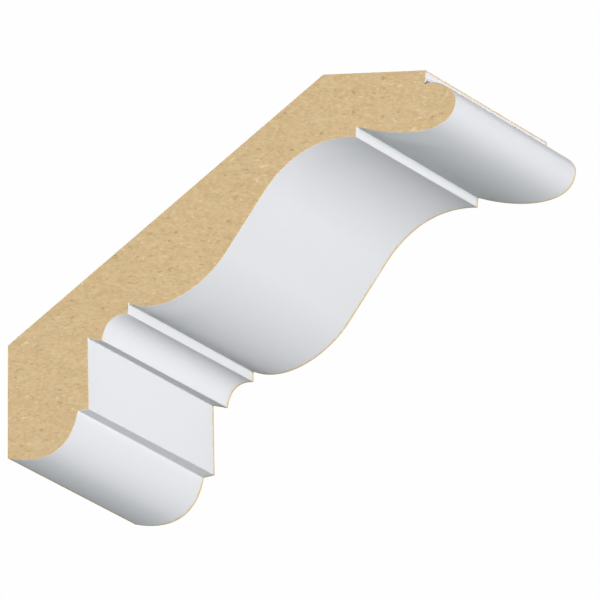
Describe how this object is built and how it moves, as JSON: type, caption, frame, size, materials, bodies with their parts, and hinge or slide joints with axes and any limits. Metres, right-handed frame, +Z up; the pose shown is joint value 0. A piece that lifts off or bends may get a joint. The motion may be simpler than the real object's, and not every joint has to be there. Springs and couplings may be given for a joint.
{
  "type": "crown moulding length",
  "caption": "Short length of primed MDF crown moulding with ovolo, fascia, cove, ogee and bead between wall and ceiling flats, cut square at both ends.",
  "frame": {"origin": "middle of the flat that sits on the wall: halfway along the length and halfway up the flat", "axes": "+X out from the wall, +Z up to the ceiling, Y along the moulding"},
  "size_m": [0.0738, 0.076, 0.0601],
  "materials": {
    "mdf": "raw medium density fibreboard, sawn on the ends and machined on the back and flats",
    "primer": "factory-sprayed white primer on the show face, flat"
  },
  "bodies": {
    "root": {"moulding": "mdf"}
  },
  "joints": []
}
